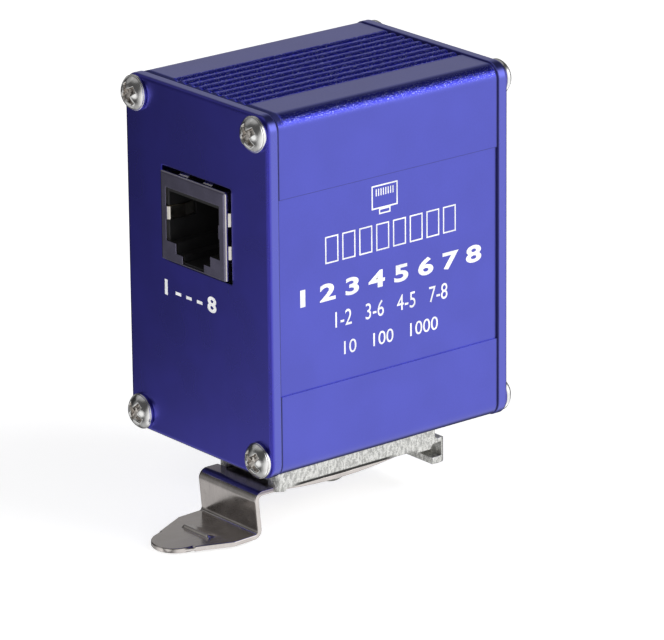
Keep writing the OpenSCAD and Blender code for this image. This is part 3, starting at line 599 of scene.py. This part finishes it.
def ring_skin(grid):
    """Points and faces of a closed surface from a grid of rings [ring, place on the ring, x y z].

    The quads between neighbouring rings come first, and a fan to the ring's middle closes each end. The volume
    inside, a sixth of the sum of each triangle's triple product, is negative when the faces point inwards, and
    then they are turned."""
    rings, around = grid.shape[:2]
    points = np.concatenate([grid.reshape(-1, 3), grid[:1].mean(axis=1), grid[-1:].mean(axis=1)])
    here = np.arange(around)
    ahead = (here + 1) % around
    row = np.arange(rings - 1)[:, None] * around
    quads = np.stack([row + here, row + ahead, row + around + ahead, row + around + here], axis=-1)
    quads = quads.reshape(-1, 4)
    last = (rings - 1) * around
    first_fan = np.stack([np.full(around, rings * around), ahead, here], axis=-1)
    last_fan = np.stack([np.full(around, rings * around + 1), last + here, last + ahead], axis=-1)
    fans = np.concatenate([first_fan, last_fan])
    corners = points[np.concatenate([quads[:, [0, 1, 2]], quads[:, [0, 2, 3]], fans])]
    volume = np.einsum("ij,ij->i", corners[:, 0], np.cross(corners[:, 1], corners[:, 2])).sum() / 6.0
    way = -1 if volume < 0 else 1
    return points, quads[:, ::way].tolist() + fans[:, ::way].tolist()


def smooth_step(value):
    """0 under 0, 1 over 1, and a smooth rise between: three times the square less twice the cube."""
    value = np.clip(value, 0.0, 1.0)
    return value * value * (3.0 - 2.0 * value)


def screw_crown(settings, turn):
    """Rings over a screw's domed head with its recess, and how deep each point lies in the recess, 0 to 1.

    The dome is a ball that meets the rim. A point's distances along and across the nearest wing are the
    greater and the lesser of its x and y. The wing's half width falls evenly towards its end, and the recess
    is full depth at the middle and rises evenly to the wing's end. Near the wing's outline the wall falls in a
    smooth step."""
    radius, height, reach = settings.head_radius, settings.head_height, settings.reach
    recess_r = np.linspace(0.02 * radius, 0.72 * radius, RECESS_STEPS)
    r = np.concatenate([recess_r, np.linspace(0.74 * radius, 0.97 * radius, DOME_STEPS)])
    rr, aa = np.meshgrid(r, turn, indexing="ij")
    x, y = rr * np.cos(aa), rr * np.sin(aa)
    dome = height - settings.rim
    ball = (radius ** 2 + dome ** 2) / (2.0 * dome)
    top = np.sqrt(ball ** 2 - rr ** 2) - ball + height
    along, across = np.maximum(abs(x), abs(y)), np.minimum(abs(x), abs(y))
    half = settings.wing_width * (1.0 - 0.30 * along / reach)
    inside = np.minimum(half - across, reach - along)
    sunk = smooth_step(inside / settings.recess_wall + 0.35)
    depth = settings.recess_depth * (1.0 - 0.55 * along / reach)
    return np.stack([x, y, top - sunk * depth], axis=-1), sunk


def screw_grid(settings):
    """Rings of one screw about Z with its seat at z = 0: the crown, a rounded rim, the seat and the shank."""
    turn = np.linspace(0.0, 2.0 * np.pi, TURN_STEPS, endpoint=False)
    crown, sunk = screw_crown(settings, turn)
    radius, corner = settings.head_radius, settings.corner
    shank, reach = settings.shank_radius, settings.shank_length
    bend = np.linspace(0.0, 0.5 * np.pi, 5)
    rim_r = radius - corner + corner * np.sin(bend)
    rim_z = crown[-1, 0, 2] - 0.25 * corner - corner * (1.0 - np.cos(bend))
    wall_r = np.concatenate([rim_r, [radius, radius - corner, shank, shank, 0.7 * shank]])
    wall_z = np.concatenate([rim_z, [corner, 0.0, 0.0, settings.point - reach, -reach]])
    wall = np.stack([wall_r[:, None] * np.cos(turn), wall_r[:, None] * np.sin(turn),
                     np.broadcast_to(wall_z[:, None], (len(wall_z), len(turn)))], axis=-1)
    return np.concatenate([crown, wall]), sunk


def turned(grid, spin, place, side):
    """A grid spun about its own Z, laid with Z along side * X, and moved to a place."""
    c, s = math.cos(spin), math.sin(spin)
    x = grid[..., 0] * c - grid[..., 1] * s
    y = grid[..., 0] * s + grid[..., 1] * c
    return np.stack([place[0] + side * grid[..., 2], place[1] + side * x, place[2] + y], axis=-1)


def finger_grid(side, left):
    """Rings of one side finger's rolled front edge: an upright quarter rod in the mouth's side.

    Its section is the rod's axis and a quarter circle about it, from its front to the mouth's middle."""
    turn = np.linspace(0.0, 0.5 * np.pi, 9)
    out = SHIELD_OUT - FINGER_SINK - FINGER_RADIUS
    x = out + FINGER_RADIUS * np.concatenate([[0.0], np.cos(turn)])
    y = FINGER_PLACE - FINGER_RADIUS * np.concatenate([[0.0], np.sin(turn)])
    ends = FINGER_LEVEL + 0.5 * FINGER_HEIGHT * np.array([-1.0, 1.0])
    return np.stack([np.stack([side * x, left * y, np.full_like(x, z)], axis=-1) for z in ends])


def strip_line(settings):
    """Middle line of the strip from its far end to the tongue's tip: x, z, heading and distance run.

    Each stretch has a length and a turn, over which the heading grows evenly. A step along an arc is a chord,
    the arc's length times sin(half turn) / half turn, in the direction of the heading at its middle. The steps
    over the round tip are those of even angles about its middle."""
    half = 0.5 * settings.thickness
    low, run = LEAF_LOW.z + half, TONGUE_HIGH.z - half
    bow, relax = settings.bow_radius, settings.relax_radius
    lip, fold = settings.lip_radius, settings.fold_radius
    lean, fall = settings.lean, settings.heading
    far_turn = math.asin((LEAF_HIGH.x - settings.bow_middle) / bow)
    bow_turn = math.acos(1.0 - (run - low) / (bow + relax))
    run_start = settings.bow_middle - (bow + relax) * math.sin(bow_turn)
    run_end = settings.lip_place + half + lip
    lip_turn = 0.5 * math.pi + lean
    fold_turn = lip_turn - fall
    fold_x = (run_end - lip * math.cos(lean) + settings.leg * math.sin(lean)
              - fold * (math.cos(lean) - math.sin(fall)))
    reach_out = (fold_x - TONGUE_LOW.x) / math.cos(fall)
    tip_steps = settings.tip_radius * np.diff(np.cos(np.linspace(0.5 * np.pi, 0.0, TIP_STEPS + 1)))
    stretches = [
        (bow * (far_turn + bow_turn), -far_turn - bow_turn, BOW_STEPS),
        (relax * bow_turn, bow_turn, RELAX_STEPS),
        (run_start - run_end, 0.0, RUN_STEPS),
        (lip * lip_turn, lip_turn, BEND_STEPS),
        (settings.leg, 0.0, LEG_STEPS),
        (fold * fold_turn, -fold_turn, BEND_STEPS),
        (reach_out - settings.tip_radius, 0.0, TONGUE_STEPS),
    ]
    steps = np.concatenate([np.full(count, size / count) for size, turn, count in stretches] + [tip_steps])
    turns = [np.full(count, turn / count) for size, turn, count in stretches]
    turns = np.concatenate(turns + [np.zeros(TIP_STEPS)])
    heading = math.pi + far_turn + np.concatenate([[0.0], np.cumsum(turns)])
    chords = steps * np.sinc(0.5 * turns / np.pi)
    middle = heading[:-1] + 0.5 * turns
    start_z = low + bow * (1.0 - math.cos(far_turn))
    x = LEAF_HIGH.x + np.concatenate([[0.0], np.cumsum(chords * np.cos(middle))])
    z = start_z + np.concatenate([[0.0], np.cumsum(chords * np.sin(middle))])
    return x, z, heading, np.concatenate([[0.0], np.cumsum(steps)])


def tongue_half(settings, x):
    """Half width of the free stretch at x: the tip's circle, then the tapered sides, then the full width."""
    radius, from_tip = settings.tip_radius, x - TONGUE_LOW.x
    touch = radius * (1.0 - math.sin(settings.taper))
    round_part = np.sqrt(np.maximum(radius ** 2 - (np.minimum(from_tip, touch) - radius) ** 2, 0.0))
    taper_run = np.maximum(from_tip - touch, 0.0)
    return np.minimum(round_part + taper_run * math.tan(settings.taper), TONGUE_HIGH.y)


def strip_half(settings, x, run, on_tongue):
    """Half width of the strip at each ring: the leaf's, then the neck's, then that of the free stretch.

    The neck ends where the leaf meets the free stretch. The width changes over a short step at its ends."""
    leaf = slice(0, BOW_STEPS + RELAX_STEPS + RUN_STEPS + 1)
    seam_run = np.interp(-TONGUE_HIGH.x, -x[leaf], run[leaf])
    neck_run, step = seam_run - settings.neck_length, NECK_STEP
    places = [neck_run - 0.75 * step, neck_run + 0.25 * step, seam_run - 0.5 * step, seam_run + 0.5 * step]
    halves = [LEAF_HIGH.y, settings.neck, settings.neck, TONGUE_HIGH.y]
    half = np.where(on_tongue, tongue_half(settings, x), np.interp(run, places, halves))
    return np.maximum(half, TIP_HALF)


def ridge_lift(settings, x, y):
    """How far the pressed ridge lifts the tongue: steeply up at its front, evenly down towards the leg, and
    smoothly down at its two ends."""
    middle = settings.lip_place - settings.ridge_place
    front, back = middle - 0.5 * settings.ridge_width, middle + 0.5 * settings.ridge_width
    crest = front + 1.2 * RIDGE_FRONT
    steep = smooth_step((x - front) / RIDGE_FRONT + 0.2)
    fall = 1.0 - np.clip((x - crest) / (back - crest), 0.0, 1.0)
    ends = smooth_step((0.5 * settings.ridge_length - abs(y)) / RIDGE_END + 0.5)
    return settings.ridge_height * (steep * fall)[:, None] * ends


def strip_grid(settings):
    """Rings of the strip: its two faces lie half its thickness from the middle line, along the line's normal.

    Within the edge's rounding of the outline the face falls along a quarter circle. The pressed ridge lifts
    both faces."""
    x, z, heading, run = strip_line(settings)
    edge, tip_middle = settings.edge, TONGUE_LOW.x + settings.tip_radius
    on_tongue = np.arange(len(x)) >= len(x) - TONGUE_STEPS - TIP_STEPS
    half = strip_half(settings, x, run, on_tongue)
    rounding = np.minimum(edge, 0.5 * half)[:, None]
    inset = rounding * (1.0 - np.cos(np.linspace(0.0, 0.5 * np.pi, 6)))
    fill = np.linspace(-1.0, 1.0, ACROSS_POINTS + 2)[1:-1] * (half[:, None] - rounding)
    y = np.concatenate([inset - half[:, None], fill, half[:, None] - inset[:, ::-1]], axis=1)
    to_side = half[:, None] - abs(y)
    to_tip = settings.tip_radius - np.hypot(x[:, None] - tip_middle, y)
    on_tip = (on_tongue & (x < tip_middle))[:, None]
    to_edge = np.clip(np.where(on_tip, np.minimum(to_side, to_tip), to_side), 0.0, edge)
    rise = 0.5 * settings.thickness - edge + np.sqrt(edge ** 2 - (edge - to_edge) ** 2)
    lift = ridge_lift(settings, x, y) * on_tongue[:, None]
    up_x, up_z = np.sin(heading)[:, None], -np.cos(heading)[:, None]
    upper, lower = (np.stack([x[:, None] + up_x * off, y, z[:, None] + up_z * off], axis=-1)
                    for off in (lift + rise, lift - rise))
    return np.concatenate([upper, lower[:, ::-1]], axis=1)


def film_boxes(rects, film):
    """Points and faces of flat boxes on the plane w = 0, from rectangles [low u, high u, low v, high v]."""
    u = rects[:, [0, 1, 1, 0]]
    v = rects[:, [2, 2, 3, 3]]
    low = np.stack([u, v, np.zeros_like(u)], axis=-1)
    high = np.stack([u, v, np.full_like(u, film)], axis=-1)
    points = np.concatenate([low, high], axis=1).reshape(-1, 3)
    one = np.array([[3, 2, 1, 0], [4, 5, 6, 7], [0, 1, 5, 4], [1, 2, 6, 5], [2, 3, 7, 6], [3, 0, 4, 7]])
    faces = (one[None] + 8 * np.arange(len(rects))[:, None, None]).reshape(-1, 4)
    return points, faces.tolist()


def outline_rects(boxes, line):
    """Four thin bars round each rectangle [low u, high u, low v, high v], without overlap at the corners."""
    a, b, c, d = boxes.T
    bars = ((a, b, c, c + line), (a, b, d - line, d),
            (a, a + line, c + line, d - line), (b - line, b, c + line, d - line))
    return np.concatenate([np.stack(bar, axis=-1) for bar in bars])


def printed_marks(settings):
    """A row of boxes, and over it a socket's outline with its tab and its pins, on the plane w = 0."""
    ways = np.arange(WAYS)
    start, pitch, width, level, height = np.array(BOX_ROW) * MM
    low, foot = start + pitch * ways, np.full(WAYS, level)
    boxes = np.stack([low, low + width, foot, foot + height], axis=-1)
    middle, level, half, height = np.array(SIGN) * MM
    tab_half, tab_height = np.array(SIGN_TAB) * MM
    head = level + tab_height
    sign = np.array([[middle - half, middle + half, head, head + height],
                     [middle - tab_half, middle + tab_half, level, head]])
    pitch, rise, height = np.array(SIGN_PINS) * MM
    pins, foot = middle + (ways - 0.5 * (WAYS - 1)) * pitch, np.full(WAYS, level + rise)
    pin_half = 0.4 * settings.line
    strokes = np.stack([pins - pin_half, pins + pin_half, foot, foot + height], axis=-1)
    outlines = [outline_rects(rects, settings.line) for rects in (boxes, sign)]
    return film_boxes(np.concatenate([*outlines, strokes]), settings.film)


def printed_numbers(row, film):
    """A row of print in the built-in font, fitted into its rectangle on the plane w = 0: points and faces."""
    text, box, bold = row
    curve = bpy.data.curves.new("numbers", "FONT")
    curve.body = text
    curve.offset = bold
    curve.extrude = 0.5
    holder = bpy.data.objects.new("numbers", curve)
    bpy.context.scene.collection.objects.link(holder)
    mesh = bpy.data.meshes.new_from_object(holder.evaluated_get(bpy.context.evaluated_depsgraph_get()))
    points = np.empty(3 * len(mesh.vertices))
    mesh.vertices.foreach_get("co", points)
    points = points.reshape(-1, 3)
    faces = [list(face.vertices) for face in mesh.polygons]
    low, high = points.min(axis=0), points.max(axis=0)
    share = (points - low) / (high - low)
    bpy.data.objects.remove(holder)
    bpy.data.curves.remove(curve)
    bpy.data.meshes.remove(mesh)
    left, right, foot, head = np.array(box) * MM
    return np.array([left, foot, 0.0]) + share * np.array([right - left, head - foot, film]), faces


class MESH_OT_case_finish(bpy.types.Operator):
    """Finishes the extruded case and its two end plates"""
    bl_idname = "mesh.protector_case"
    bl_label = "Case and end plates"

    def execute(self, context):
        settings = context.scene.protector_case
        paint(["housing"], case_blue(settings))
        paint(["line_end_plate", "equipment_end_plate"], plate_blue(settings))
        return {"FINISHED"}


class MESH_OT_socket_finish(bpy.types.Operator):
    """Finishes the two sockets: tinned shields, black bodies and gilded contacts"""
    bl_idname = "mesh.protector_sockets"
    bl_label = "Sockets"

    def execute(self, context):
        settings = context.scene.protector_sockets
        # Painted shade over the shields' fronts
        front = (settings.front_shade_tin, "X", SHIELD_OUT - FRONT_SHADE_START, SHIELD_OUT - FRONT_SHADE_FULL)
        tin = plated("shield tin", settings.tin, 0.17, settings.edge, (0.5, 0.5, 0.5), 0.0005 * MM, front)
        black = moulded("socket black", settings.plastic, 0.38)
        gold = plated("contact gold", settings.gold, 0.2, settings.wire_edge)
        for end in ("line", "equipment"):
            paint([end + "_jack_shield"], tin)
            paint([end + "_jack_body", end + "_jack_insert"], black)
            paint([end + "_contacts", end + "_contact_tails"], gold)
        return {"FINISHED"}


class MESH_OT_finger_edges(bpy.types.Operator):
    """Makes the rolled front edges of the two side fingers in each socket's mouth"""
    bl_idname = "mesh.protector_fingers"
    bl_label = "Finger edges"

    def execute(self, context):
        settings = context.scene.protector_sockets
        bright = plated("finger tin", settings.finger_tin, 0.2, 0.0, (1.0, 1.0, 0.1), 0.0005 * MM)
        for side, face, end in ENDS:
            parts = [ring_skin(finger_grid(side, left)) for left in (-1.0, 1.0)]
            piece = new_piece(end + "_finger_edges", *gathered(parts), [bright], smooth=False)
            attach(piece, "case")
        return {"FINISHED"}


class MESH_OT_inner_finish(bpy.types.Operator):
    """Finishes the board, its gas tubes and diodes, and the earth strap"""
    bl_idname = "mesh.protector_inner"
    bl_label = "Inner parts"

    def execute(self, context):
        settings = context.scene.protector_inner
        paint(["circuit_board"], moulded("board green", settings.board, 0.3, grain=0.3 * MM))
        paint(["gas_tubes"], moulded("tube white", settings.tube, 0.2))
        paint(["clamp_diodes"], moulded("diode black", settings.diode, 0.42))
        paint(["earth_strap"], plated("strap brass", settings.brass, 0.28, edge=0.08 * MM))
        return {"FINISHED"}


class MESH_OT_clip_finish(bpy.types.Operator):
    """Finishes the clip body and its rivets"""
    bl_idname = "mesh.protector_clip"
    bl_label = "Clip body"

    def execute(self, context):
        settings = context.scene.protector_clip
        paint(["clip_body"], cast_zinc(settings, context.scene.protector_strip))
        paint(["clip_rivets"], plated("rivet steel", settings.rivet, 0.26, settings.rivet_edge))
        return {"FINISHED"}


class MESH_OT_plate_screws(bpy.types.Operator):
    """Makes the four round-headed screws of each end plate"""
    bl_idname = "mesh.protector_screws"
    bl_label = "Plate screws"

    def execute(self, context):
        settings = context.scene.protector_screws
        even = (1.0, 1.0, 1.0)
        bright = plated("screw steel", settings.steel, 0.15, 0.0, even, 0.010 * MM)
        # Painted shade: the recess faces get the darker steel
        shaded_recess = plated("recess steel", settings.recess_shade_steel, 0.15, 0.0, even, 0.012 * MM)
        one, sunk = screw_grid(settings)
        in_recess = (sunk[:-1] + sunk[1:] > 0.9).reshape(-1)
        half_y = SCREWS_HIGH.y - settings.head_radius
        low_z, high_z = SCREWS_LOW.z + settings.head_radius, SCREWS_HIGH.z - settings.head_radius
        places = ((-half_y, low_z), (-half_y, high_z), (half_y, low_z), (half_y, high_z))
        for side, face, end in ENDS:
            parts = [ring_skin(turned(one, math.radians(spin), (face, y, z), side))
                     for (y, z), spin in zip(places, RECESS_TURNS)]
            shaded_recess_faces = np.zeros((len(parts), len(parts[0][1])), np.int32)
            shaded_recess_faces[:, :len(in_recess)] = in_recess
            piece = new_piece(end + "_screws", *gathered(parts), [bright, shaded_recess])
            piece.data.polygons.foreach_set("material_index", shaded_recess_faces.reshape(-1))
            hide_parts(end + "_plate_screws")
            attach(piece, "case")
        return {"FINISHED"}


class MESH_OT_latch_strip(bpy.types.Operator):
    """Makes the bent spring strip in one piece, from under the clip body to the tongue's tip"""
    bl_idname = "mesh.protector_strip"
    bl_label = "Latch strip"

    def execute(self, context):
        settings = context.scene.protector_strip
        # Painted shade over the strip's highest stretch and the bend at the near lip
        bend = (settings.bend_shade_steel, "Z", TONGUE_HIGH.z - BEND_SHADE_START, TONGUE_HIGH.z - BEND_SHADE_FULL)
        steel = plated("strip steel", settings.steel, 0.17, 0.0, (0.04, 0.6, 0.04), 0.0003 * MM, bend)
        piece = new_piece("latch_strip", *ring_skin(strip_grid(settings)), [steel])
        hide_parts("latch_leaf", "latch_tongue")
        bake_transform(piece)
        return {"FINISHED"}


class MESH_OT_print(bpy.types.Operator):
    """Prints numbers, boxes and a socket's outline on the front side, and numbers on the line plate"""
    bl_idname = "mesh.protector_print"
    bl_label = "Print"

    def execute(self, context):
        settings = context.scene.protector_print
        ink = moulded("white ink", settings.ink, 0.45, 0.2 * MM, 0.0)
        rows = [printed_numbers(row, settings.film) for row in FRONT_ROWS]
        points, faces = gathered(rows + [printed_marks(settings)])
        front = CASE_LOW.y + settings.field_depth
        on_case = np.stack([points[:, 0], front - points[:, 2], points[:, 1]], axis=-1)
        self.add("front_print", on_case, faces, ink)
        points, faces = printed_numbers(PLATE_ROW, settings.film)
        on_plate = np.stack([LINE_FACE - points[:, 2], -points[:, 0], points[:, 1]], axis=-1)
        self.add("plate_print", on_plate, faces, ink)
        return {"FINISHED"}

    def add(self, name, points, faces, ink):
        """A printed piece that moves with the case."""
        piece = new_piece(name, points, faces, [ink], smooth=False)
        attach(piece, "case")


class SCENE_OT_stage(bpy.types.Operator):
    """Sets the camera, the pale floor, the card, the lamps and the surroundings"""
    bl_idname = "scene.protector_stage"
    bl_label = "Stage"

    def execute(self, context):
        settings = context.scene.protector_stage
        scene = context.scene
        scene.view_settings.view_transform = "Standard"
        self.camera(scene, settings)
        self.floor(settings)
        self.card()
        self.surroundings(scene)
        for lamp in LAMPS:
            self.lamp(scene, *lamp)
        return {"FINISHED"}

    def camera(self, scene, settings):
        """The camera that looks at the part as in the photograph."""
        lens = bpy.data.cameras.new("view")
        lens.sensor_fit = "HORIZONTAL"
        lens.sensor_width = 36.0
        lens.lens = settings.lens
        lens.clip_end = 20.0
        camera = bpy.data.objects.new("view", lens)
        camera.location = settings.camera_place
        camera.rotation_euler = Euler(settings.camera_turn)
        scene.collection.objects.link(camera)
        scene.camera = camera

    def floor(self, settings):
        """A square floor just under the part: white with the part's soft shadow, and open from below."""
        half = 0.5 * settings.floor_size
        z = CAD_BOX[0][2] - settings.floor_drop
        corners = np.array([(-half, -half, z), (half, -half, z), (half, half, z), (-half, half, z)])
        material, start = plain_shader("floor white")
        ray = start.node("ShaderNodeLightPath", output="Is Glossy Ray")
        under = start.node("ShaderNodeNewGeometry", output="Backfacing")
        matt = start.node("ShaderNodeBsdfDiffuse", {}, {"Color": rgba(settings.floor_white)})
        glow = start.node("ShaderNodeEmission", {}, {"Strength": settings.floor_glow})
        lit = start.node("ShaderNodeAddShader", {}, {0: matt, 1: glow})
        clear = start.node("ShaderNodeBsdfTransparent")
        open_way = ray.math("MAXIMUM", ray, under)
        both = start.node("ShaderNodeMixShader", {}, {0: open_way, 1: lit, 2: clear})
        start.node("ShaderNodeOutputMaterial", {}, {"Surface": both})
        new_piece("floor", corners, [[0, 1, 2, 3]], [material], smooth=False)

    def card(self):
        """An upright card behind the part's left side, seen only in its metal.

        It is lighter towards its near side and its foot, and a little darker towards its head."""
        low, high = (Vector((0.0, 0.0, height)) for height in CARD_SIDES)
        near, far = (Vector(CARD_MIDDLE) + side * Vector(CARD_WAY) for side in (-1.0, 1.0))
        corners = np.array([near + low, far + low, far + high, near + high])
        material, start = plain_shader("card grey")
        x, z = parts_of(start, start.node("ShaderNodeTexCoord", output="Object"), "XZ")
        reach = {"Value": x, "From Min": CARD_NEAR[0], "From Max": CARD_NEAR[1]}
        nearness = start.node("ShaderNodeMapRange", {}, reach)
        strength = 0.04 + 0.55 * nearness + 0.45 * (1.0 - z.between(*CARD_FOOT))
        strength = strength * (1.0 - 0.35 * z.between(*CARD_HEAD))
        glow = start.node("ShaderNodeEmission", {}, {"Strength": strength})
        start.node("ShaderNodeOutputMaterial", {}, {"Surface": glow})
        card = new_piece("card", corners, [[0, 1, 2, 3]], [material], smooth=False)
        card.visible_camera = False
        card.visible_diffuse = False
        card.visible_shadow = False
        card.visible_transmission = False

    def surroundings(self, scene):
        """White to the camera; to the part a dim room with brighter patches, the greatest in front."""
        world = bpy.data.worlds.new("studio")
        world.use_nodes = True
        scene.world = world
        world.node_tree.nodes.clear()
        start = Flow(world.node_tree)
        view = start.node("ShaderNodeTexCoord", output="Generated")
        strength = ROOM_LIGHT
        for way, low, high, gain in PATCHES:
            aim = Vector(way).normalized()
            dot = start.node("ShaderNodeVectorMath", {"operation": "DOT_PRODUCT"}, {0: view, 1: aim}, "Value")
            strength = strength + gain * dot.between(low, high)
        white = (1.0, 1.0, 1.0, 1.0)
        room = start.node("ShaderNodeBackground", {}, {"Color": white, "Strength": strength})
        backdrop = start.node("ShaderNodeBackground", {}, {"Color": white, "Strength": 1.0})
        ray = start.node("ShaderNodeLightPath", output="Is Camera Ray")
        both = start.node("ShaderNodeMixShader", {}, {0: ray, 1: room, 2: backdrop})
        start.node("ShaderNodeOutputWorld", {}, {"Surface": both})

    def lamp(self, scene, name, place, side, power):
        """A square area lamp that faces the part's middle and shows in none of its reflections."""
        light = bpy.data.lights.new(name, "AREA")
        light.size = side
        light.energy = power
        piece = bpy.data.objects.new(name, light)
        piece.location = place
        piece.rotation_euler = (Vector(LAMP_AIM) - Vector(place)).to_track_quat("-Z", "Y").to_euler()
        piece.visible_glossy = False
        scene.collection.objects.link(piece)


class VIEW3D_PT_protector(bpy.types.Panel):
    """Lists the pieces of the surge protector and their settings"""
    bl_label = "Surge protector"
    bl_space_type = "VIEW_3D"
    bl_region_type = "UI"
    bl_category = "Protector"

    def draw(self, context):
        for operator in OPERATORS:
            self.layout.operator(operator.bl_idname)
        for name, group in SETTINGS.items():
            box = self.layout.box()
            box.label(text=group.__doc__)
            for field in group.__annotations__:
                box.prop(getattr(context.scene, name), field)


OPERATORS = (MESH_OT_case_finish, MESH_OT_socket_finish, MESH_OT_finger_edges, MESH_OT_inner_finish,
             MESH_OT_clip_finish, MESH_OT_plate_screws, MESH_OT_latch_strip, MESH_OT_print, SCENE_OT_stage)
SETTINGS = {
    "protector_case": CaseSettings,
    "protector_sockets": SocketSettings,
    "protector_inner": InnerSettings,
    "protector_clip": ClipSettings,
    "protector_screws": ScrewSettings,
    "protector_strip": StripSettings,
    "protector_print": PrintSettings,
    "protector_stage": StageSettings,
}


def register():
    for name, group in SETTINGS.items():
        bpy.utils.register_class(group)
        setattr(bpy.types.Scene, name, PointerProperty(type=group))
    for item in OPERATORS + (VIEW3D_PT_protector,):
        bpy.utils.register_class(item)


def unregister():
    for item in reversed(OPERATORS + (VIEW3D_PT_protector,)):
        bpy.utils.unregister_class(item)
    for name, group in SETTINGS.items():
        delattr(bpy.types.Scene, name)
        bpy.utils.unregister_class(group)


def main():
    register()
    for operator in OPERATORS:
        space, call = operator.bl_idname.split(".")
        getattr(getattr(bpy.ops, space), call)()


if __name__ == "__main__":
    main()
